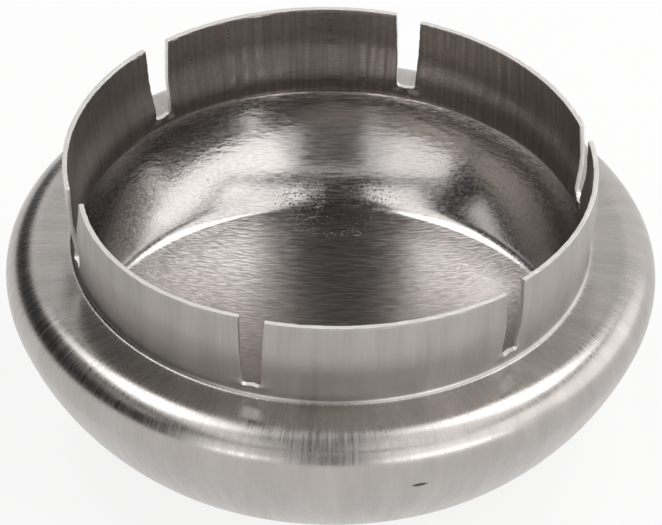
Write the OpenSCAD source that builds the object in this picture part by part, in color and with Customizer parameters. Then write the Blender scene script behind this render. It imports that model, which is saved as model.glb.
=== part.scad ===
// Push-in hub cap, pressed and spun from one disc of stainless steel sheet.
// It lies as in the photograph: the domed face is down on the table and the
// open skirt, slit into spring tabs, points up. Z = 0 is the table and the
// Z axis is the cap's own axis. All sizes are in millimetres.
// One sheet of even thickness runs from the rim of the skirt, round the root
// bend, across a flat ledge, over the shoulder and down the wall to the face.

/* [Sheet] */
// Thickness of the steel sheet
sheet_t = 0.6; // [0.4:0.05:1]

/* [Skirt] */
// Outside diameter across the spring tabs, where they grip the wheel
skirt_d = 64; // [56:0.5:68]
// Height of the skirt's rim above the flat ledge
skirt_h = 11.8; // [10.5:0.1:20]
// How far the tabs stand out past the root of the skirt
tab_set = 0.75; // [0.3:0.05:1.2]
// Radius of the two soft bends that set a tab out
tab_bend_r = 16; // [8:1:18]
// Height above the ledge at which the straight root ends and those bends start
root_h = 1; // [0.9:0.1:1.5]
// Hollow radius where the skirt meets the ledge
root_r = 0.6; // [0.3:0.05:0.8]

/* [Slots] */
// Number of slots, and so of spring tabs
slot_count = 6; // [3:1:12]
// Turn of the first slot from +X, in degrees
slot_turn = 13; // [0:1:60]
// Width of a slot at the rim
slot_mouth_w = 3.3; // [1.5:0.1:5]
// Width of a slot at its floor
slot_floor_w = 2.4; // [1:0.1:4]
// Height of the slot floor above the ledge
slot_floor_h = 1.6; // [1.2:0.1:4]
// Corner radius of the slot floor
slot_corner_r = 0.4; // [0.2:0.1:0.5]

/* [Cap] */
// Widest diameter of the cap, at its shoulder
cap_d = 79; // [77:0.5:86]
// Outside radius of the shoulder, from the ledge round to the widest place
shoulder_r = 4.2; // [2:0.1:5]
// Outside radius of the upper wall, below the widest place
upper_wall_r = 7.1; // [5:0.1:10]
// Lean of the wall where its upper curve ends, in degrees from upright
upper_wall_lean = 19.5; // [12:0.5:26]
// Outside radius of the long lower wall
lower_wall_r = 31; // [26:1:36]
// Lean of the wall where its lower curve ends, in degrees from upright
lower_wall_lean = 44; // [40:1:50]
// Outside radius of the bend between the wall and the domed face
face_bend_r = 5; // [3:0.5:10]
// Lean of the domed face where that bend ends, in degrees from upright
face_lean = 66; // [56:1:80]

/* [Hidden] */
// Fineness of round corners
$fn = 64;

// One step along a bend turns and reaches no further than these
step_turn = 3;
step_length = 1.5;

// Small overlap of cutting shapes past the faces that they open
cut_over = 1;

// The point at distance r from p, at angle a in the plane of the section
function away(p, r, a) = p + r * [cos(a), sin(a)];

// Points round a bend from angle a0 to a1; skip = 1 leaves out the first one,
// which the bend before has already placed
function bend(centre, r, a0, a1, skip = 0) =
    let (turn = abs(a1 - a0))
    let (n = ceil(max(turn / step_turn, turn / 180 * PI * r / step_length)))
    [for (i = [skip : n]) away(centre, r, a0 + (a1 - a0) * i / n)];

// The section is measured from the top of the ledge, at height 0.
skirt_r = skirt_d / 2;
root_out_r = skirt_r - tab_set;
tab_bend_a = acos(1 - tab_set / (2 * tab_bend_r));
tab_bends_h = 2 * tab_bend_r * sin(tab_bend_a);
cap_r = cap_d / 2;

// Centre of each bend, placed so that it starts where the one before it ends
set_back_c = [skirt_r - tab_bend_r, root_h + tab_bends_h];
set_out_c = [root_out_r + tab_bend_r, root_h];
root_c = [root_out_r + root_r, root_r];
shoulder_c = [cap_r - shoulder_r, -shoulder_r];
upper_wall_c = [cap_r - upper_wall_r, -shoulder_r];
lower_wall_c = away(upper_wall_c, upper_wall_r - lower_wall_r, -upper_wall_lean);
face_bend_c = away(lower_wall_c, lower_wall_r - face_bend_r, -lower_wall_lean);

// The face is part of a ball centred on the axis and tangent to its bend
face_r = face_bend_r + face_bend_c[0] / cos(face_lean);
face_c = away(face_bend_c, face_bend_r - face_r, -face_lean);

// Height of the ledge above the table that the face rests on
ledge_z = face_r - face_c[1];

// The line at a depth below the sheet's outer side, from the rim to the axis.
// Going deeper widens the two hollow bends and tightens the others.
function sheet_line(depth) = concat(
    [[skirt_r - depth, skirt_h]],
    bend(set_back_c, tab_bend_r - depth, 0, -tab_bend_a),
    bend(set_out_c, tab_bend_r + depth, 180 - tab_bend_a, 180, skip = 1),
    bend(root_c, root_r + depth, 180, 270),
    bend(shoulder_c, shoulder_r - depth, 90, 0),
    bend(upper_wall_c, upper_wall_r - depth, 0, -upper_wall_lean, skip = 1),
    bend(lower_wall_c, lower_wall_r - depth, -upper_wall_lean, -lower_wall_lean, skip = 1),
    bend(face_bend_c, face_bend_r - depth, -lower_wall_lean, -face_lean, skip = 1),
    bend(face_c, face_r - depth, -face_lean, -90, skip = 1)
);

function reversed(points) = [for (i = [len(points) - 1 : -1 : 0]) points[i]];

// Section through the whole sheet: down its outer side and back up its inner
module section() {
    polygon(concat(sheet_line(0), reversed(sheet_line(sheet_t))));
}

// Half the width of a slot at a height above its floor; it widens evenly
function slot_half_w(h) =
    let (rise = (h - slot_corner_r) / (skirt_h - slot_floor_h - slot_corner_r))
    (slot_floor_w + rise * (slot_mouth_w - slot_floor_w)) / 2;

// Outline of one slot seen from outside, with its floor at height 0
module slot_outline() {
    top = skirt_h - slot_floor_h + cut_over;
    corner_x = slot_floor_w / 2 - slot_corner_r;
    translate([-corner_x, 0]) square([2 * corner_x, slot_corner_r]);
    for (side = [-1, 1]) translate([side * corner_x, slot_corner_r]) circle(r = slot_corner_r);
    polygon([
        [-slot_half_w(slot_corner_r), slot_corner_r],
        [slot_half_w(slot_corner_r), slot_corner_r],
        [slot_half_w(top), top],
        [-slot_half_w(top), top]
    ]);
}

// The cutters that slit the skirt into tabs, spaced evenly round it
module slots() {
    from_r = root_out_r - sheet_t - cut_over;
    to_r = skirt_r + cut_over;
    for (i = [0 : slot_count - 1])
        rotate([0, 0, slot_turn + i * 360 / slot_count])
            translate([from_r, 0, slot_floor_h])
                rotate([90, 0, 90])
                    linear_extrude(height = to_r - from_r) slot_outline();
}

// The whole cap: the section spun round the axis, with the slots cut
module hub_cap() {
    color("silver")
        translate([0, 0, ledge_z])
            difference() {
                rotate_extrude() section();
                slots();
            }
}

hub_cap();
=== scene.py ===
import math

import bmesh
import bpy
import numpy as np
from mathutils import Matrix, Vector


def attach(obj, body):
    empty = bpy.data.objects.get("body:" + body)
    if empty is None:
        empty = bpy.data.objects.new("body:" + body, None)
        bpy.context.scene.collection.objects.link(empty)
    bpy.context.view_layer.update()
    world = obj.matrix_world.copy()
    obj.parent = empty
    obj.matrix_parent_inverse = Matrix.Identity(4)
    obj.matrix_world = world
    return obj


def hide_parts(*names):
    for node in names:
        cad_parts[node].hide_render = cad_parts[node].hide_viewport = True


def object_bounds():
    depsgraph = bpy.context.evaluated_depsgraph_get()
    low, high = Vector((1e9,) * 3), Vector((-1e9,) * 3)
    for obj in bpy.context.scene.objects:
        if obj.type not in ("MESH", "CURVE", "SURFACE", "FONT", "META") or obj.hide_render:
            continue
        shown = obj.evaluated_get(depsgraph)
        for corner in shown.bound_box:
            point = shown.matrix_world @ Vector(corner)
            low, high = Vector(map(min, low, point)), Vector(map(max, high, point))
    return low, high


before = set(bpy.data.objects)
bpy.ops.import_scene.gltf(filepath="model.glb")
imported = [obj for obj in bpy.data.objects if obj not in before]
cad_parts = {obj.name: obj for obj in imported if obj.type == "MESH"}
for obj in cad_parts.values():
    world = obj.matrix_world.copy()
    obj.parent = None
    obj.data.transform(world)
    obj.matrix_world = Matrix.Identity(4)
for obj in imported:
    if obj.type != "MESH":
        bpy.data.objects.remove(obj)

CAD_LOW, CAD_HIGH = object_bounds()

bl_info = {
    "name": "Pressed Steel Hub Cap",
    "version": (1, 0, 0),
    "blender": (4, 5, 0),
    "location": "3D View > Sidebar > Hub Cap",
    "description": "Makes a push-in hub cap of stainless sheet and the studio it lies in",
    "category": "Object",
}

MM = 0.001
CAP_NODE = "hub_cap"
OUTER_SIDE, INNER_SIDE, CUT_SIDE = 0, 1, 2


# Sizes and colours

def length(name, description, millimetres):
    return bpy.props.FloatProperty(
        name=name, description=description, default=millimetres * MM, unit="LENGTH", precision=5)


def lengths(name, description, millimetres):
    return bpy.props.FloatVectorProperty(
        name=name, description=description, default=[mm * MM for mm in millimetres],
        size=len(millimetres), unit="LENGTH", precision=5)


def turn(name, description, degrees):
    return bpy.props.FloatProperty(
        name=name, description=description, default=math.radians(degrees), subtype="ANGLE")


def count(name, description, number):
    return bpy.props.IntProperty(name=name, description=description, default=number, min=1)


def linear(hex_colour):
    """An sRGB hex colour as the linear RGBA that a shader socket takes."""
    rgba = []
    for start in (1, 3, 5):
        c = int(hex_colour[start:start + 2], 16) / 255
        rgba.append(c / 12.92 if c <= 0.04045 else ((c + 0.055) / 1.055) ** 2.4)
    return (*rgba, 1.0)


def colour(name, description, hex_colour):
    return bpy.props.FloatVectorProperty(
        name=name, description=description, default=linear(hex_colour)[:3],
        size=3, min=0, max=1, subtype="COLOR")


class CapSizes(bpy.types.PropertyGroup):
    """The pressed section and its slots, as the CAD has them"""
    sheet_t: length("Sheet", "Thickness of the steel sheet", 0.6)
    skirt_d: length("Skirt diameter", "Outside diameter across the spring tabs", 64)
    skirt_h: length("Skirt height", "Height of the rim above the flat ledge", 11.8)
    tab_set: length("Tab set", "How far the tabs stand out past the root of the skirt", 0.75)
    tab_bend_r: length("Tab bend radius", "Radius of the two bends that set a tab out", 16)
    root_h: length("Root height", "Height at which the straight root ends", 1)
    root_r: length("Root radius", "Hollow radius where the skirt meets the ledge", 0.6)
    slot_count: count("Slots", "Number of slots between the tabs", 6)
    slot_turn: turn("Slot turn", "Turn of the first slot from +X", 13)
    slot_mouth_w: length("Slot mouth", "Width of a slot at the rim", 3.3)
    slot_floor_w: length("Slot floor", "Width of a slot at its floor", 2.4)
    slot_floor_h: length("Slot floor height", "Height of the slot floor above the ledge", 1.6)
    slot_corner_r: length("Slot corner", "Corner radius of the slot floor", 0.4)
    cap_d: length("Cap diameter", "Widest diameter of the cap, at its shoulder", 79)
    shoulder_r: length("Shoulder radius", "Radius from the ledge round to the widest place", 4.2)
    upper_wall_r: length("Upper wall radius", "Radius of the wall below the widest place", 7.1)
    upper_wall_lean: turn("Upper wall lean", "Lean of the wall where its upper curve ends", 19.5)
    lower_wall_r: length("Lower wall radius", "Radius of the long lower wall", 31)
    lower_wall_lean: turn("Lower wall lean", "Lean of the wall where its lower curve ends", 44)
    face_bend_r: length("Face bend radius", "Radius of the bend between the wall and the face", 5)
    face_lean: turn("Face lean", "Lean of the domed face where that bend ends", 66)
    columns: count("Columns", "Mesh columns in the turn of one tab", 60)


class CapWear(bpy.types.PropertyGroup):
    """What pressing, slitting and use did to the sheet; tabs are counted from the first slot"""
    tab_bend: lengths(
        "Tab bend", "How far each tab's rim is bent outwards", (-0.42, 0.36, 0.65, -0.1, 0.05, -0.03))
    tab_twist: lengths(
        "Tab twist", "How much further its far end is out", (-0.12, 0.15, -0.18, 0.15, 0.28, 0.08))
    tab_crown: lengths(
        "Tab crown", "How far its middle is out past its ends", (-0.1, 0, 0, 1.1, -0.35, 0.25))
    slot_lip: length("Slot lip", "Height of the lip that the slitting punch left at a slot's floor", 0.3)
    edge_wear: length("Edge wear", "How ragged the cut edges are", 0.045)
    edge_round: length("Edge round", "Radius to which the cut edges are rubbed", 0.05)
    seed: count("Seed", "Seed of the ragged edges and the lips", 4)


class CapFinish(bpy.types.PropertyGroup):
    """Colours of the steel"""
    # The outside's colour is partly the steel's own and partly painted shade. It is set darker than bare
    # stainless to stand in for the shade on the floor round the cap, which the outer wall mirrors.
    drawn: colour("Drawn steel", "Colour of the outside, dulled by the drawing dies", "#B3AEAA")
    rolled: colour("Rolled steel", "Colour of the inside, still as the mill rolled it", "#C3BEBB")
    sheared: colour("Cut edge", "Colour of the sheared edge of the sheet", "#E2DED9")
    film: colour("Film", "Colour of the dust film baked on inside the skirt", "#7A6F67")
    grime: colour("Grime", "Colour of what sits in pits, nicks and corners", "#3B342F")


class StudioSettings(bpy.types.PropertyGroup):
    """Floor and cards of the studio"""
    floor: colour("Floor", "Colour of the plain floor", "#F7F6F5")
    card: colour("Black card", "Colour of the dark cards that the metal mirrors", "#242424")
    grey_card: colour("Grey card", "Colour of the card between the front lamps", "#9A9A9A")


# Nodes

def add(tree, kind, links=None, **settings):
    """Adds one node, sets its properties, and fills its sockets with values or other nodes' outputs."""
    node = tree.nodes.new(kind)
    for name, value in settings.items():
        setattr(node, name, value)
    for socket, value in (links or {}).items():
        if isinstance(value, bpy.types.NodeSocket):
            tree.links.new(value, node.inputs[socket])
        else:
            node.inputs[socket].default_value = value
    return node


# The section of the sheet

# Mesh rows along each stretch of the section, from the rim to the axis
TAB_ROWS, SLOT_CORNER_ROWS, ROOT_ROWS, ROOT_BEND_ROWS, LEDGE_ROWS = 21, 4, 6, 8, 6
SHOULDER_ROWS, UPPER_WALL_ROWS, LOWER_WALL_ROWS, FACE_BEND_ROWS, FACE_ROWS = 16, 6, 12, 8, 28

# Mesh columns on each side of a slot's middle, and how strongly the others crowd towards the slot
SLOT_COLUMNS = 3
CROWDING = 1.3


def away(point, radius, angle):
    return (point[0] + radius * math.cos(angle), point[1] + radius * math.sin(angle))


def section_rows(s):
    """Points down the outer side of the sheet, from rim to axis, with the outward normal at each."""
    quarter = math.pi / 2
    skirt_r, cap_r = s.skirt_d / 2, s.cap_d / 2
    root_out_r = skirt_r - s.tab_set
    bend_a = math.acos(1 - s.tab_set / (2 * s.tab_bend_r))
    bends_h = 2 * s.tab_bend_r * math.sin(bend_a)
    set_back_c = (skirt_r - s.tab_bend_r, s.root_h + bends_h)
    set_out_c = (root_out_r + s.tab_bend_r, s.root_h)
    root_c = (root_out_r + s.root_r, s.root_r)
    shoulder_c = (cap_r - s.shoulder_r, -s.shoulder_r)
    upper_c = (cap_r - s.upper_wall_r, -s.shoulder_r)
    lower_c = away(upper_c, s.upper_wall_r - s.lower_wall_r, -s.upper_wall_lean)
    face_bend_c = away(lower_c, s.lower_wall_r - s.face_bend_r, -s.lower_wall_lean)
    face_r = s.face_bend_r + face_bend_c[0] / math.cos(s.face_lean)
    face_c = away(face_bend_c, s.face_bend_r - face_r, -s.face_lean)
    ledge_z = face_r - face_c[1]
    points, normals = [], []

    def skirt_row(h):
        if h >= set_back_c[1]:
            points.append((skirt_r, h))
            normals.append((1, 0))
        elif h >= s.root_h + bends_h / 2:
            a = math.asin((h - set_back_c[1]) / s.tab_bend_r)
            points.append(away(set_back_c, s.tab_bend_r, a))
            normals.append((math.cos(a), math.sin(a)))
        elif h >= s.root_h:
            a = math.asin((h - set_out_c[1]) / s.tab_bend_r)
            points.append(away(set_out_c, -s.tab_bend_r, -a))
            normals.append((math.cos(a), -math.sin(a)))
        else:
            points.append((root_out_r, h))
            normals.append((1, 0))

    def bend_rows(centre, radius, a0, a1, steps, hollow=False):
        side = -1 if hollow else 1
        for i in range(1, steps + 1):
            a = a0 + (a1 - a0) * i / steps
            points.append(away(centre, radius, a))
            normals.append((side * math.cos(a), side * math.sin(a)))

    for h in np.linspace(s.skirt_h, s.slot_floor_h + s.slot_corner_r, TAB_ROWS):
        skirt_row(h)
    for k in range(1, SLOT_CORNER_ROWS + 1):
        skirt_row(s.slot_floor_h + s.slot_corner_r * (1 - math.sin(k * quarter / SLOT_CORNER_ROWS)))
    for h in np.linspace(s.slot_floor_h, s.root_r, ROOT_ROWS)[1:]:
        skirt_row(h)
    bend_rows(root_c, s.root_r, 2 * quarter, 3 * quarter, ROOT_BEND_ROWS, hollow=True)
    for x in np.linspace(root_c[0], shoulder_c[0], LEDGE_ROWS)[1:]:
        points.append((x, 0))
        normals.append((0, 1))
    bend_rows(shoulder_c, s.shoulder_r, quarter, 0, SHOULDER_ROWS)
    bend_rows(upper_c, s.upper_wall_r, 0, -s.upper_wall_lean, UPPER_WALL_ROWS)
    bend_rows(lower_c, s.lower_wall_r, -s.upper_wall_lean, -s.lower_wall_lean, LOWER_WALL_ROWS)
    bend_rows(face_bend_c, s.face_bend_r, -s.lower_wall_lean, -s.face_lean, FACE_BEND_ROWS)
    bend_rows(face_c, face_r, -s.face_lean, -quarter, FACE_ROWS)
    return np.array(points) + (0, ledge_z), np.array(normals)


def slot_half_w(s, above):
    """Half the width of a slot at a height above its floor, whose corners are round."""
    rise = max(above - s.slot_corner_r, 0) / (s.skirt_h - s.slot_floor_h - s.slot_corner_r)
    half = (s.slot_floor_w + rise * (s.slot_mouth_w - s.slot_floor_w)) / 2
    drop = min(max(s.slot_corner_r - above, 0), s.slot_corner_r)
    return half - s.slot_corner_r + math.sqrt(s.slot_corner_r ** 2 - drop ** 2)


def sector_mesh(s):
    """One slot with half a tab on each side of it: both faces of the sheet and its cut edges.

    The attributes say which steel a face is, which points lie on a cut edge, how far down the sheet a
    point lies from the rim, and how far above the slot floors."""
    outer, normals = section_rows(s)
    inner = outer - normals * s.sheet_t
    outer[-1, 0] = inner[-1, 0] = 0
    above = outer[:, 1] - (CAD_HIGH.z - s.skirt_h) - s.slot_floor_h
    run = np.insert(np.cumsum(np.hypot(*np.diff(outer, axis=0).T)), 0, 0)
    floor_row = int(np.argmin(np.abs(above)))
    rows, middle = len(outer), s.columns // 2
    half_pitch = math.pi / s.slot_count

    # Columns crowd towards the slot, where its edges and corners need them.
    turns = np.zeros((rows, 2 * middle + 1))
    for row in range(rows):
        half = math.asin(slot_half_w(s, max(above[row], 0)) / (s.skirt_d / 2 - s.tab_set))
        for step in range(1, middle + 1):
            if step <= SLOT_COLUMNS:
                a = half * step / SLOT_COLUMNS
            else:
                a = half + (half_pitch - half) * ((step - SLOT_COLUMNS) / (middle - SLOT_COLUMNS)) ** CROWDING
            turns[row, middle + step] = a
            turns[row, middle - step] = -a
    turns += s.slot_turn

    columns = turns.shape[1]
    points = []
    for side in (outer, inner):
        for row in range(rows):
            for a in turns[row]:
                points.append((side[row, 0] * math.cos(a), side[row, 0] * math.sin(a), side[row, 1]))

    def at(row, column, inside=0):
        return (inside * rows + row) * columns + column

    def kept(row, column):
        if row < 0:
            return False
        return row >= floor_row or not middle - SLOT_COLUMNS <= column < middle + SLOT_COLUMNS

    faces, sides = [], []
    for row in range(rows - 1):
        for column in range(columns - 1):
            if not kept(row, column):
                continue
            a, b, c, d = (row, column), (row + 1, column), (row + 1, column + 1), (row, column + 1)
            faces.append([at(*corner) for corner in (a, b, c, d)])
            sides.append(OUTER_SIDE)
            faces.append([at(*corner, 1) for corner in (d, c, b, a)])
            sides.append(INNER_SIDE)
            open_edges = []
            if not kept(row - 1, column):
                open_edges.append((d, a))
            if column > 0 and not kept(row, column - 1):
                open_edges.append((a, b))
            if column < columns - 2 and not kept(row, column + 1):
                open_edges.append((c, d))
            for start, end in open_edges:
                faces.append([at(*end), at(*start), at(*start, 1), at(*end, 1)])
                sides.append(CUT_SIDE)

    on_edge = np.zeros(len(points))
    for face, side in zip(faces, sides):
        if side == CUT_SIDE:
            on_edge[face] = 1
    mesh = bpy.data.meshes.new("tab_sector")
    mesh.from_pydata(points, [], faces)
    mesh.attributes.new("side", "INT", "FACE").data.foreach_set("value", sides)
    mesh.attributes.new("on_edge", "FLOAT", "POINT").data.foreach_set("value", on_edge)
    for name, of_row in (("run", run), ("above_floor", above)):
        of_point = np.tile(np.repeat(of_row, columns), 2)
        mesh.attributes.new(name, "FLOAT", "POINT").data.foreach_set("value", of_point)
    loose = set(range(len(points))) - {corner for face in faces for corner in face}
    return drop_points(mesh, loose)


def drop_points(mesh, loose):
    """Takes out the points that no face uses, which lie in the slot."""
    shape = bmesh.new()
    shape.from_mesh(mesh)
    shape.verts.ensure_lookup_table()
    bmesh.ops.delete(shape, geom=[shape.verts[i] for i in loose], context="VERTS")
    shape.to_mesh(mesh)
    shape.free()
    return mesh


# Size of the tears along a cut edge, and how far noise that stays near its middle is stretched
TEAR_SIZE = 0.4 * MM
TEAR_STRETCH = 4.0
MERGE_DISTANCE = 0.001 * MM

# The two whole numbers that a Compare node takes are its sockets 2 and 3.
COMPARE_A, COMPARE_B = 2, 3


def slotted_sheet_tree():
    """Geometry Nodes: sets the sector round the axis, joins it up, tears its cut edges, and finishes it."""
    tree = bpy.data.node_groups.new("slotted sheet", "GeometryNodeTree")
    sockets = tree.interface
    for name, kind in (
        ("Sector", "NodeSocketGeometry"), ("Slots", "NodeSocketInt"), ("Edge wear", "NodeSocketFloat"),
        ("Seed", "NodeSocketInt"), ("Outer steel", "NodeSocketMaterial"),
        ("Inner steel", "NodeSocketMaterial"), ("Cut edge", "NodeSocketMaterial"),
    ):
        sockets.new_socket(name, in_out="INPUT", socket_type=kind)
    sockets.new_socket("Sheet", in_out="OUTPUT", socket_type="NodeSocketGeometry")
    given = add(tree, "NodeGroupInput").outputs

    places = add(tree, "GeometryNodeMeshLine", {"Count": given["Slots"], "Offset": (0, 0, 0)}).outputs[0]
    pitch = add(tree, "ShaderNodeMath", {0: math.tau, 1: given["Slots"]}, operation="DIVIDE").outputs[0]
    index = add(tree, "GeometryNodeInputIndex").outputs[0]
    turned = add(tree, "ShaderNodeMath", {0: index, 1: pitch}, operation="MULTIPLY").outputs[0]
    turned = add(tree, "ShaderNodeCombineXYZ", {"Z": turned}).outputs[0]
    ring = add(tree, "GeometryNodeInstanceOnPoints", {
        "Points": places, "Instance": given["Sector"], "Rotation": turned}).outputs[0]
    sheet = add(tree, "GeometryNodeRealizeInstances", {"Geometry": ring}).outputs[0]
    sheet = add(tree, "GeometryNodeMergeByDistance", {
        "Geometry": sheet, "Distance": MERGE_DISTANCE}).outputs[0]

    # The shear tore the cut edges, so their points lie a little off a true line.
    torn = add(tree, "ShaderNodeTexNoise", {
        "W": given["Seed"], "Scale": 1 / TEAR_SIZE, "Detail": 1.0}, noise_dimensions="4D").outputs["Color"]
    torn = add(tree, "ShaderNodeVectorMath", {0: torn, 1: (0.5, 0.5, 0.5)}, operation="SUBTRACT").outputs[0]
    edge = add(tree, "GeometryNodeInputNamedAttribute", {"Name": "on_edge"}, data_type="FLOAT")
    reach = add(tree, "ShaderNodeMath", {
        0: edge.outputs["Attribute"], 1: given["Edge wear"]}, operation="MULTIPLY").outputs[0]
    reach = add(tree, "ShaderNodeMath", {0: reach, 1: TEAR_STRETCH}, operation="MULTIPLY").outputs[0]
    shift = add(tree, "ShaderNodeVectorMath", {0: torn, "Scale": reach}, operation="SCALE").outputs[0]
    sheet = add(tree, "GeometryNodeSetPosition", {"Geometry": sheet, "Offset": shift}).outputs[0]
    sheet = add(tree, "GeometryNodeSetShadeSmooth", {"Geometry": sheet}).outputs[0]

    side = add(tree, "GeometryNodeInputNamedAttribute", {"Name": "side"}, data_type="INT")
    sheet = add(tree, "GeometryNodeRealizeInstances", {"Geometry": sheet}).outputs[0]
    for number, name in ((OUTER_SIDE, "Outer steel"), (INNER_SIDE, "Inner steel"), (CUT_SIDE, "Cut edge")):
        chosen = add(tree, "FunctionNodeCompare", {
            COMPARE_A: side.outputs["Attribute"], COMPARE_B: number}, data_type="INT", operation="EQUAL")
        sheet = add(tree, "GeometryNodeSetMaterial", {
            "Geometry": sheet, "Selection": chosen.outputs[0], "Material": given[name]}).outputs[0]
    add(tree, "NodeGroupOutput", {"Sheet": sheet})
    return tree


def set_input(modifier, name, value):
    """Sets a modifier's input by the identifier of the socket with that name."""
    for item in modifier.node_group.interface.items_tree:
        if item.item_type == "SOCKET" and item.in_out == "INPUT" and item.name == name:
            modifier[item.identifier] = value
            return
    raise KeyError(name)


def plain_mesh(holder, name):
    """The evaluated geometry as an object of its own, with no modifier left."""
    depsgraph = bpy.context.evaluated_depsgraph_get()
    mesh = bpy.data.meshes.new_from_object(holder.evaluated_get(depsgraph), depsgraph=depsgraph)
    mesh.name = name
    source = holder.data
    bpy.data.objects.remove(holder)
    bpy.data.meshes.remove(source)
    piece = bpy.data.objects.new(name, mesh)
    bpy.context.scene.collection.objects.link(piece)
    return piece


# A tab bends more and more towards its rim, as this power of its height.
BEND_GROWTH = 1.25

# The lips beside the slot floors: their least and greatest share of the full lip, the share of the
# floor's width at which they stand, their half width and half height, and how far down they reach
LIP_SHARES = (0.35, 1)
LIP_PLACE = 0.45
LIP_W = 0.75 * MM
LIP_H = 0.55 * MM
LIP_DEPTH = 1.4 * MM

# Points nearer the axis than this have no outward direction to move in.
LEAST_RADIUS = 0.001 * MM


def bend_tabs(mesh, s, wear):
    """Bends each tab by its own amount, and raises the lips that the punch left beside the slots."""
    places = np.empty(len(mesh.vertices) * 3)
    mesh.vertices.foreach_get("co", places)
    places = places.reshape(-1, 3)
    pitch = math.tau / s.slot_count
    floor_z = CAD_HIGH.z - s.skirt_h + s.slot_floor_h
    turns = (np.arctan2(places[:, 1], places[:, 0]) - s.slot_turn) / pitch
    tab = np.floor(turns).astype(int) % s.slot_count
    along = 2 * (turns - np.floor(turns)) - 1
    bend, twist, crown = (np.array(of_tab)[tab] for of_tab in (wear.tab_bend, wear.tab_twist, wear.tab_crown))
    rise = np.clip((places[:, 2] - floor_z) / (CAD_HIGH.z - floor_z), 0, 1)
    outwards = (bend + twist * along + crown * (0.5 - along ** 2)) * rise ** BEND_GROWTH

    slot = np.rint(turns).astype(int)
    across = (turns - slot) * pitch * s.skirt_d / 2
    right = (across > 0).astype(int)
    shares = np.random.default_rng(wear.seed).uniform(*LIP_SHARES, (s.slot_count, 2))
    lips = shares[slot % s.slot_count, right]
    from_corner = (np.abs(across) - LIP_PLACE * s.slot_floor_w) / LIP_W
    from_floor = (places[:, 2] - floor_z) / LIP_H
    places[:, 2] = np.clip(places[:, 2], CAD_LOW.z, CAD_HIGH.z)
    lips *= places[:, 2] > floor_z - LIP_DEPTH
    outwards += wear.slot_lip * lips * np.exp(-from_corner ** 2 - from_floor ** 2)

    radius = np.maximum(np.hypot(places[:, 0], places[:, 1]), LEAST_RADIUS)
    places[:, :2] *= (1 + outwards / radius)[:, None]
    mesh.vertices.foreach_set("co", places.ravel())
    mesh.update()


# Finishes

# Real die lines, mill grain and pits are a few hundredths of a millimetre across. A pixel of the render
# is 0.12 mm, so they are too fine to show and are drawn coarser, at the sizes given to them below.

# Blender's noise lies mostly between these two values.
NOISE_LOW, NOISE_HIGH = 0.3, 0.7

# The colours that a Mix node takes are its sockets 6 and 7, and its mixed colour is output 2.
MIX_A, MIX_B, MIXED = 6, 7, 2

# Radius at which the die lines have their own spacing: that of the skirt
LINE_RADIUS = 32 * MM

# Share of a speck's radius within which it has its full depth
SPECK_CORE = 0.6


def new_material(name):
    material = bpy.data.materials.new(name)
    material.use_nodes = True
    tree = material.node_tree
    tree.nodes.clear()
    return material, tree


def draw_lines(tree, spacing, reach, seed):
    """Noise from 0 to 1 drawn out along the sheet's run from rim to face, as the dies mark it.

    It turns with the sheet, so the lines fan out from the axis."""
    place = add(tree, "ShaderNodeTexCoord").outputs["Object"]
    flat = add(tree, "ShaderNodeVectorMath", {0: place, 1: (1, 1, 0)}, operation="MULTIPLY").outputs[0]
    round_axis = add(tree, "ShaderNodeVectorMath", {0: flat}, operation="NORMALIZE").outputs[0]
    round_axis = add(tree, "ShaderNodeVectorMath", {
        0: round_axis, "Scale": LINE_RADIUS / spacing}, operation="SCALE").outputs[0]
    run = add(tree, "ShaderNodeAttribute", attribute_name="run").outputs["Fac"]
    run = add(tree, "ShaderNodeMath", {0: run, 1: 1 / reach, 2: seed}, operation="MULTIPLY_ADD").outputs[0]
    down = add(tree, "ShaderNodeCombineXYZ", {"Z": run}).outputs[0]
    place = add(tree, "ShaderNodeVectorMath", {0: round_axis, 1: down}, operation="ADD").outputs[0]
    return add(tree, "ShaderNodeTexNoise", {
        "Vector": place, "Scale": 1.0, "Detail": 3.0, "Roughness": 0.6}).outputs["Fac"]


def grain(tree, spacing, reach, detail, seed):
    """Noise from 0 to 1 drawn out along X, the way the sheet went through the rolling mill."""
    place = add(tree, "ShaderNodeTexCoord").outputs["Object"]
    place = add(tree, "ShaderNodeMapping", {
        "Vector": place, "Location": (seed, 0, 0),
        "Scale": (1 / reach, 1 / spacing, 1 / spacing)}).outputs[0]
    return add(tree, "ShaderNodeTexNoise", {
        "Vector": place, "Scale": 1.0, "Detail": detail}).outputs["Fac"]


def specks(tree, spacing, radius, share, seed):
    """Round specks, 1 inside one and 0 elsewhere; this share of the cells, a spacing wide, has one."""
    place = add(tree, "ShaderNodeTexCoord").outputs["Object"]
    place = add(tree, "ShaderNodeMapping", {
        "Vector": place, "Location": (seed, seed, 0), "Scale": [1 / spacing] * 3}).outputs[0]
    cells = add(tree, "ShaderNodeTexVoronoi", {"Vector": place, "Scale": 1.0})
    pick = add(tree, "ShaderNodeSeparateColor", {"Color": cells.outputs["Color"]}).outputs[0]
    pick = add(tree, "ShaderNodeMath", {0: pick, 1: share}, operation="LESS_THAN").outputs[0]
    inside = add(tree, "ShaderNodeMapRange", {
        "Value": cells.outputs["Distance"], "From Min": radius / spacing,
        "From Max": SPECK_CORE * radius / spacing}).outputs[0]
    return add(tree, "ShaderNodeMath", {0: inside, 1: pick}, operation="MULTIPLY").outputs[0]


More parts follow.
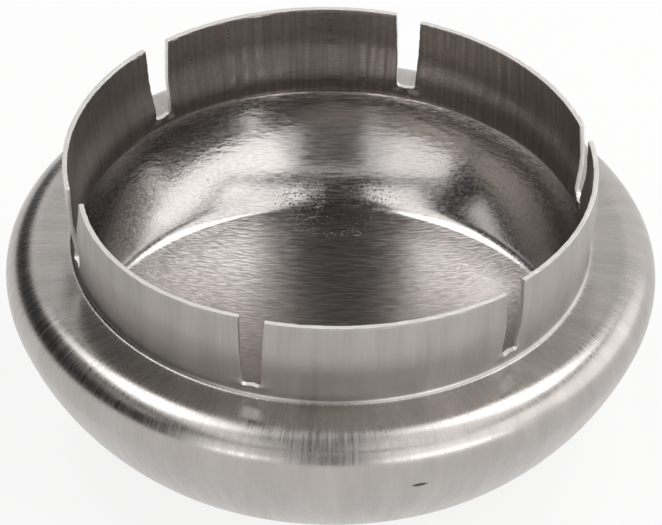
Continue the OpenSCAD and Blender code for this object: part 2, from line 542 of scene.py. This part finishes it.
def patch(tree, centre, size, edge):
    """1 inside an ellipsoid of this centre and half sizes in millimetres, fading to 0 at its edge."""
    place = add(tree, "ShaderNodeTexCoord").outputs["Object"]
    near = add(tree, "ShaderNodeVectorMath", {
        0: place, 1: [c * MM for c in centre]}, operation="SUBTRACT").outputs[0]
    near = add(tree, "ShaderNodeVectorMath", {
        0: near, 1: [1 / (c * MM) for c in size]}, operation="MULTIPLY").outputs[0]
    far = add(tree, "ShaderNodeVectorMath", {0: near}, operation="LENGTH").outputs["Value"]
    return add(tree, "ShaderNodeMapRange", {
        "Value": far, "From Min": 1 + edge, "From Max": 1 - edge}, interpolation_type="SMOOTHSTEP").outputs[0]


def drawn_steel(finish):
    """Cold drawn stainless steel: the dies rubbed it satin, so the eye sees soft bands of light, broken by
    fine lines that run with the draw. The skirt, which they touched least, is duller still."""
    material, tree = new_material("cold drawn stainless steel")
    fine = draw_lines(tree, 0.32 * MM, 9 * MM, 0)
    broad = draw_lines(tree, 2.2 * MM, 16 * MM, 40)
    nick = patch(tree, (10.9, -37.5, 18.4), (0.9, 1.4, 0.3), 0.4)
    above = add(tree, "ShaderNodeAttribute", attribute_name="above_floor").outputs["Fac"]
    skirt = add(tree, "ShaderNodeMapRange", {
        "Value": above, "From Min": -1.6 * MM, "From Max": 0}).outputs[0]

    tint = add(tree, "ShaderNodeMapRange", {
        "Value": broad, "From Min": NOISE_LOW, "From Max": NOISE_HIGH,
        "To Min": 0.9, "To Max": 1.06}).outputs[0]
    # Painted shade: the drawn colour is darker than bare steel, standing in for the shaded floor that the
    # outer wall mirrors.
    base = add(tree, "ShaderNodeVectorMath", {
        0: finish.drawn[:], "Scale": tint}, operation="SCALE").outputs[0]
    base = add(tree, "ShaderNodeMix", {
        0: nick, MIX_A: base, MIX_B: (*finish.grime, 1)}, data_type="RGBA").outputs[MIXED]
    rough = add(tree, "ShaderNodeMapRange", {
        "Value": fine, "From Min": NOISE_LOW, "From Max": NOISE_HIGH,
        "To Min": 0.22, "To Max": 0.34}).outputs[0]
    rough = add(tree, "ShaderNodeMath", {0: skirt, 1: 0.28, 2: rough}, operation="MULTIPLY_ADD").outputs[0]
    bump = add(tree, "ShaderNodeBump", {"Height": fine, "Strength": 1.0, "Distance": 0.0035 * MM}).outputs[0]
    tangent = add(tree, "ShaderNodeTangent", direction_type="RADIAL", axis="Z").outputs[0]
    shader = add(tree, "ShaderNodeBsdfPrincipled", {
        "Base Color": base, "Metallic": 1.0, "Roughness": rough, "Anisotropic": 0.3,
        "Tangent": tangent, "Normal": bump})
    add(tree, "ShaderNodeOutputMaterial", {"Surface": shader.outputs[0]})
    return material


def rolled_steel(finish):
    """Bright rolled stainless steel: no die rubbed the inside, so it mirrors the lamps more sharply than
    the outside, through the mill's straight grain along X. Dust baked on dulls the inside of the skirt,
    and the sheet rippled where the wall was stretched. One place in the bowl is pitted and scratched."""
    material, tree = new_material("bright rolled stainless steel")
    fine = grain(tree, 0.24 * MM, 2.2 * MM, 3.0, 0)
    ripple = grain(tree, 0.7 * MM, 2.6 * MM, 2.0, 7)
    lines = draw_lines(tree, 0.6 * MM, 14 * MM, 80)
    above = add(tree, "ShaderNodeAttribute", attribute_name="above_floor").outputs["Fac"]
    skirt = add(tree, "ShaderNodeMapRange", {
        "Value": above, "From Min": -2 * MM, "From Max": -1.4 * MM}).outputs[0]
    wall = add(tree, "ShaderNodeMapRange", {
        "Value": above, "From Min": -19 * MM, "From Max": -14 * MM}).outputs[0]
    pitted = patch(tree, (0.5, 31.0, 7.8), (6.5, 4.2, 3.4), 0.5)
    scratched = patch(tree, (-3.6, 31.5, 8.0), (2.2, 3.0, 2.6), 0.5)
    speck = specks(tree, 3.2 * MM, 0.13 * MM, 0.3, 3)
    pit = specks(tree, 0.26 * MM, 0.09 * MM, 0.45, 11)
    coarse_pit = specks(tree, 0.6 * MM, 0.14 * MM, 0.3, 17)
    pit = add(tree, "ShaderNodeMath", {0: pit, 1: coarse_pit}, operation="MAXIMUM").outputs[0]
    pit = add(tree, "ShaderNodeMath", {0: pit, 1: pitted}, operation="MULTIPLY").outputs[0]
    scratch = grain(tree, 0.16 * MM, 1.6 * MM, 0.0, 31)
    scratch = add(tree, "ShaderNodeMapRange", {
        "Value": scratch, "From Min": 0.6, "From Max": 0.66}).outputs[0]
    scratch = add(tree, "ShaderNodeMath", {0: scratch, 1: scratched}, operation="MULTIPLY").outputs[0]

    tint = add(tree, "ShaderNodeMapRange", {
        "Value": fine, "From Min": NOISE_LOW, "From Max": NOISE_HIGH,
        "To Min": 0.8, "To Max": 1.1}).outputs[0]
    base = add(tree, "ShaderNodeVectorMath", {
        0: finish.rolled[:], "Scale": tint}, operation="SCALE").outputs[0]
    base = add(tree, "ShaderNodeMix", {
        0: pit, MIX_A: base, MIX_B: (*finish.grime, 1)}, data_type="RGBA").outputs[MIXED]
    film = add(tree, "ShaderNodeMapRange", {
        "Value": lines, "From Min": NOISE_LOW, "From Max": NOISE_HIGH,
        "To Min": 0.35, "To Max": 0.8}).outputs[0]
    film = add(tree, "ShaderNodeMath", {0: skirt, 1: film}, operation="MULTIPLY").outputs[0]
    base = add(tree, "ShaderNodeMix", {
        0: film, MIX_A: base, MIX_B: (*finish.film, 1)}, data_type="RGBA").outputs[MIXED]
    rough = add(tree, "ShaderNodeMapRange", {
        "Value": fine, "From Min": NOISE_LOW, "From Max": NOISE_HIGH,
        "To Min": 0.12, "To Max": 0.2}).outputs[0]
    for dulled, amount in ((film, 0.35), (speck, 0.5)):
        rough = add(tree, "ShaderNodeMath", {
            0: dulled, 1: amount, 2: rough}, operation="MULTIPLY_ADD").outputs[0]

    # Depth of each mark in millimetres. The ripples keep to the wall, and the die lines to the skirt.
    wall_ripple = add(tree, "ShaderNodeMath", {0: ripple, 1: wall}, operation="MULTIPLY").outputs[0]
    skirt_lines = add(tree, "ShaderNodeMath", {0: lines, 1: skirt}, operation="MULTIPLY").outputs[0]
    bump = add(tree, "ShaderNodeBump", {"Height": fine, "Strength": 1.0, "Distance": 0.006 * MM}).outputs[0]
    for mark, depth, sunk in (
        (wall_ripple, 0.02, False), (skirt_lines, 0.012, False), (pit, 0.05, True), (scratch, 0.04, False),
    ):
        bump = add(tree, "ShaderNodeBump", {
            "Height": mark, "Strength": 1.0, "Distance": depth * MM, "Normal": bump}, invert=sunk).outputs[0]
    along_x = add(tree, "ShaderNodeCombineXYZ", {"X": 1.0}).outputs[0]
    shader = add(tree, "ShaderNodeBsdfPrincipled", {
        "Base Color": base, "Metallic": 1.0, "Roughness": rough, "Anisotropic": 0.35,
        "Tangent": along_x, "Normal": bump})
    add(tree, "ShaderNodeOutputMaterial", {"Surface": shader.outputs[0]})
    return material


def sheared_steel(finish):
    """Sheared stainless edge: the shear tore it rough and bare, so it is a light, broken line to the eye."""
    material, tree = new_material("sheared stainless steel")
    place = add(tree, "ShaderNodeTexCoord").outputs["Object"]
    torn = add(tree, "ShaderNodeTexNoise", {
        "Vector": place, "Scale": 1 / (0.16 * MM), "Detail": 2.0}).outputs["Fac"]
    bump = add(tree, "ShaderNodeBump", {"Height": torn, "Strength": 1.0, "Distance": 0.05 * MM}).outputs[0]
    shader = add(tree, "ShaderNodeBsdfPrincipled", {
        "Base Color": (*finish.sheared, 1), "Metallic": 1.0, "Roughness": 0.42, "Normal": bump})
    add(tree, "ShaderNodeOutputMaterial", {"Surface": shader.outputs[0]})
    return material


# The cap

# Edges sharper than this are rubbed round, in this many steps.
RUBBED_ANGLE = math.radians(50)
RUBBED_STEPS = 2

# With fewer faces than this, the Geometry Nodes tree has made no sheet.
FEWEST_FACES = 10000


class HUBCAP_OT_sheet(bpy.types.Operator):
    """Makes the cap: one pressed sheet with its slots, cut edges and steel finishes"""
    bl_idname = "hubcap.sheet"
    bl_label = "Pressed Sheet"

    def execute(self, context):
        sizes, wear, finish = context.scene.cap_sizes, context.scene.cap_wear, context.scene.cap_finish
        holder = bpy.data.objects.new("tab_sector", sector_mesh(sizes))
        context.scene.collection.objects.link(holder)
        modifier = holder.modifiers.new("slotted sheet", "NODES")
        modifier.node_group = slotted_sheet_tree()
        for name, value in (
            ("Slots", sizes.slot_count), ("Edge wear", wear.edge_wear), ("Seed", wear.seed),
            ("Outer steel", drawn_steel(finish)), ("Inner steel", rolled_steel(finish)),
            ("Cut edge", sheared_steel(finish)),
        ):
            set_input(modifier, name, value)
        rubbed = holder.modifiers.new("rubbed edges", "BEVEL")
        rubbed.limit_method = "ANGLE"
        rubbed.angle_limit = RUBBED_ANGLE
        rubbed.width = wear.edge_round
        rubbed.segments = RUBBED_STEPS
        cap = plain_mesh(holder, "pressed_cap")
        if len(cap.data.polygons) < FEWEST_FACES:
            raise RuntimeError("the sheet came out empty")
        bend_tabs(cap.data, sizes, wear)
        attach(cap, "root")
        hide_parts(CAP_NODE)
        return {"FINISHED"}


# The studio

# The camera is where the photograph's was: above a level table, with a long lens. Lengths in the picture
# are in pixels, and the camera's place follows from where the middle of the rim is seen.
CAMERA_LENS_PX = 7000
CAMERA_PX_PER_MM = 8.31
CAMERA_HEIGHT_ANGLE = math.radians(38.0)
CAMERA_ROLL = math.radians(0.9)
IMAGE_W, IMAGE_H = 662, 525
RIM_CENTRE_PX = (332.4, 164.3)
SENSOR_W_MM = 36
CLIP_START, CLIP_END = 0.01, 50

# The studio's lengths are in metres, and its angles in degrees. Azimuth 0 is the camera's side, 90 is +X.
# A radiance of 1 is as bright as the white background.
FLOOR_REACH = 6
HANGING_Z = 1.0
CEILING_PLACE = (0, -0.2, 1.25)
CEILING_SIZE = (2.8, 2.5)

# Lamps that hang level over the cap: name, reach across the table, reach along it, radiance. The back
# two light the bowl, which mirrors the dark gap between them. The front two are dimmer.
HANGING_LAMPS = (
    ("softbox left", (-0.7, -0.23), (-0.1, 0.62), 3.9),
    ("softbox right", (0.19, 0.8), (0.06, 0.62), 4.3),
    ("softbox front left", (-0.72, -0.26), (-0.95, -0.1), 1.5),
    ("softbox front right", (0.16, 0.9), (-0.95, 0.06), 1.5),
)

# Lamps that stand round the cap: name, azimuth, height angle, distance, width, height, radiance. The
# front and side ones light the outer wall, and the low strips draw the bright line round the shoulder.
STANDING_LAMPS = (
    ("front lamp left", -35, 27, 1.5, 0.6, 0.75, 0.42),
    ("front lamp right", 48, 27, 1.5, 1.4, 0.75, 0.85),
    ("side lamp", 104, 20, 1.5, 1.4, 0.9, 0.9),
    ("strip left", -28, 7, 1.3, 0.36, 0.25, 2.4),
    ("strip right", 38, 7, 1.3, 0.85, 0.25, 2.8),
)

# Cards that the metal mirrors as dark bands: name, azimuth, height angle, distance, width, height.
STANDING_CARDS = (
    ("flag left", -110, 20, 1.8, 4.6, 1.25),
    ("flag left front", -54, 20, 1.6, 0.4, 1.2),
    ("flag front", 0, 19, 1.9, 0.75, 1.3),
    ("flag back", 180, 60, 1.3, 1.4, 0.7),
)
GREY_CARD = "flag front"

# Share of plain white in what is seen of the floor, and strength of the world as light and as seen
FLOOR_WHITE = 0.85
WORLD_LIGHT, WORLD_SEEN = 0.4, 1.0


def make_camera():
    ce, se = math.cos(CAMERA_HEIGHT_ANGLE), math.sin(CAMERA_HEIGHT_ANGLE)
    cr, sr = math.cos(CAMERA_ROLL), math.sin(CAMERA_ROLL)
    z_axis = Vector((sr * ce, cr * ce, se))
    x_axis = Vector((cr, -sr, 0))
    y_axis = z_axis.cross(x_axis)
    to_camera = Matrix((x_axis, y_axis, z_axis)).transposed()
    seen_at = Vector((RIM_CENTRE_PX[0] - IMAGE_W / 2, IMAGE_H / 2 - RIM_CENTRE_PX[1], -CAMERA_LENS_PX))
    seen_at *= MM / CAMERA_PX_PER_MM
    rim_centre = Vector((0, 0, CAD_HIGH.z))
    to_world = to_camera.transposed()
    data = bpy.data.cameras.new("camera")
    data.sensor_width = SENSOR_W_MM
    data.lens = CAMERA_LENS_PX / IMAGE_W * data.sensor_width
    data.clip_start, data.clip_end = CLIP_START, CLIP_END
    camera = bpy.data.objects.new("camera", data)
    camera.matrix_world = Matrix.Translation(rim_centre - to_world @ seen_at) @ to_world.to_4x4()
    bpy.context.scene.collection.objects.link(camera)
    bpy.context.scene.camera = camera


def facing(azimuth, height_angle, distance):
    """Place and turn of a lamp or card that faces the cap."""
    a, e = math.radians(azimuth), math.radians(height_angle)
    back = Vector((math.sin(a) * math.cos(e), -math.cos(a) * math.cos(e), math.sin(e)))
    centre = Vector((0, 0, CAD_HIGH.z / 2))
    return Matrix.Translation(centre + back * distance) @ back.to_track_quat("Z", "Y").to_matrix().to_4x4()


def softbox(name, azimuth, height_angle, distance, width, height, radiance):
    lamp = bpy.data.lights.new(name, "AREA")
    lamp.shape = "RECTANGLE"
    lamp.size, lamp.size_y = width, height
    lamp.energy = radiance * math.pi * width * height
    box = bpy.data.objects.new(name, lamp)
    box.matrix_world = facing(azimuth, height_angle, distance)
    box.visible_camera = False
    bpy.context.scene.collection.objects.link(box)


def overhead(name, across, along, radiance):
    """A softbox that hangs level over the cap."""
    lamp = bpy.data.lights.new(name, "AREA")
    lamp.shape = "RECTANGLE"
    lamp.size, lamp.size_y = across[1] - across[0], along[1] - along[0]
    lamp.energy = radiance * math.pi * lamp.size * lamp.size_y
    box = bpy.data.objects.new(name, lamp)
    box.location = (sum(across) / 2, sum(along) / 2, HANGING_Z)
    box.visible_camera = False
    bpy.context.scene.collection.objects.link(box)


def card(name, place, width, height, material):
    x, y = width / 2, height / 2
    mesh = bpy.data.meshes.new(name)
    mesh.from_pydata([(-x, -y, 0), (x, -y, 0), (x, y, 0), (-x, y, 0)], [], [(0, 1, 2, 3)])
    mesh.transform(place)
    mesh.materials.append(material)
    sheet = bpy.data.objects.new(name, mesh)
    sheet.visible_camera = False
    bpy.context.scene.collection.objects.link(sheet)


def painted_card(name, tint):
    """Card painted matt: the metal mirrors it as one plain tone."""
    material, tree = new_material(name)
    shader = add(tree, "ShaderNodeBsdfPrincipled", {"Base Color": (*tint, 1), "Roughness": 0.9})
    add(tree, "ShaderNodeOutputMaterial", {"Surface": shader.outputs[0]})
    return material


def seen_directly(tree):
    """1 for what the camera sees, mirrored and through glass too; 0 for light that falls on things."""
    path = add(tree, "ShaderNodeLightPath").outputs
    seen = path["Is Camera Ray"]
    for kind in ("Is Glossy Ray", "Is Transmission Ray"):
        seen = add(tree, "ShaderNodeMath", {0: seen, 1: path[kind]}, operation="MAXIMUM").outputs[0]
    return seen


def pale_floor(tint):
    """Painted board: mostly lifted to plain white for the eye, and it keeps the cap's shadow."""
    material, tree = new_material("painted board")
    board = add(tree, "ShaderNodeBsdfPrincipled", {"Base Color": (*tint, 1), "Roughness": 0.8}).outputs[0]
    white = add(tree, "ShaderNodeEmission", {"Color": (1, 1, 1, 1), "Strength": 1.0}).outputs[0]
    share = add(tree, "ShaderNodeMath", {
        0: seen_directly(tree), 1: FLOOR_WHITE}, operation="MULTIPLY").outputs[0]
    mixed = add(tree, "ShaderNodeMixShader", {0: share, 1: board, 2: white}).outputs[0]
    add(tree, "ShaderNodeOutputMaterial", {"Surface": mixed})
    return material


class HUBCAP_OT_studio(bpy.types.Operator):
    """Makes the studio: floor, soft lamps, dark cards, world and camera"""
    bl_idname = "hubcap.studio"
    bl_label = "Studio"

    def execute(self, context):
        settings = context.scene.studio
        make_camera()
        corners = [(x * FLOOR_REACH, y * FLOOR_REACH, 0) for x, y in ((-1, -1), (1, -1), (1, 1), (-1, 1))]
        floor_mesh = bpy.data.meshes.new("floor")
        floor_mesh.from_pydata(corners, [], [(0, 1, 2, 3)])
        floor_mesh.materials.append(pale_floor(settings.floor))
        floor = bpy.data.objects.new("floor", floor_mesh)
        context.scene.collection.objects.link(floor)

        for name, across, along, radiance in HANGING_LAMPS:
            overhead(name, across, along, radiance)
        for lamp in STANDING_LAMPS:
            softbox(*lamp)
        black = painted_card("black card", settings.card)
        grey = painted_card("grey card", settings.grey_card)
        for name, azimuth, height_angle, distance, width, height in STANDING_CARDS:
            tone = grey if name == GREY_CARD else black
            card(name, facing(azimuth, height_angle, distance), width, height, tone)
        card("black ceiling", Matrix.Translation(CEILING_PLACE), *CEILING_SIZE, black)

        world = bpy.data.worlds.new("studio")
        world.use_nodes = True
        tree = world.node_tree
        tree.nodes.clear()
        strength = add(tree, "ShaderNodeMapRange", {
            "Value": seen_directly(tree), "To Min": WORLD_LIGHT, "To Max": WORLD_SEEN}).outputs[0]
        background = add(tree, "ShaderNodeBackground", {"Color": (1, 1, 1, 1), "Strength": strength})
        add(tree, "ShaderNodeOutputWorld", {"Surface": background.outputs[0]})
        context.scene.world = world
        context.scene.view_settings.view_transform = "Standard"
        return {"FINISHED"}


class HUBCAP_PT_panel(bpy.types.Panel):
    """Sizes, wear, finishes and the steps that make the hub cap"""
    bl_label = "Hub Cap"
    bl_idname = "HUBCAP_PT_panel"
    bl_space_type = "VIEW_3D"
    bl_region_type = "UI"
    bl_category = "Hub Cap"

    def draw(self, context):
        scene = context.scene
        for group in (scene.cap_sizes, scene.cap_wear, scene.cap_finish, scene.studio):
            column = self.layout.column()
            for name in group.__annotations__:
                column.prop(group, name)
        for operator in (HUBCAP_OT_sheet, HUBCAP_OT_studio):
            self.layout.operator(operator.bl_idname)


CLASSES = (CapSizes, CapWear, CapFinish, StudioSettings, HUBCAP_OT_sheet, HUBCAP_OT_studio, HUBCAP_PT_panel)


def register():
    for cls in CLASSES:
        bpy.utils.register_class(cls)
    bpy.types.Scene.cap_sizes = bpy.props.PointerProperty(type=CapSizes)
    bpy.types.Scene.cap_wear = bpy.props.PointerProperty(type=CapWear)
    bpy.types.Scene.cap_finish = bpy.props.PointerProperty(type=CapFinish)
    bpy.types.Scene.studio = bpy.props.PointerProperty(type=StudioSettings)


def unregister():
    for name in ("cap_sizes", "cap_wear", "cap_finish", "studio"):
        delattr(bpy.types.Scene, name)
    for cls in reversed(CLASSES):
        bpy.utils.unregister_class(cls)


def main():
    register()
    bpy.ops.hubcap.sheet()
    bpy.ops.hubcap.studio()


if __name__ == "__main__":
    main()
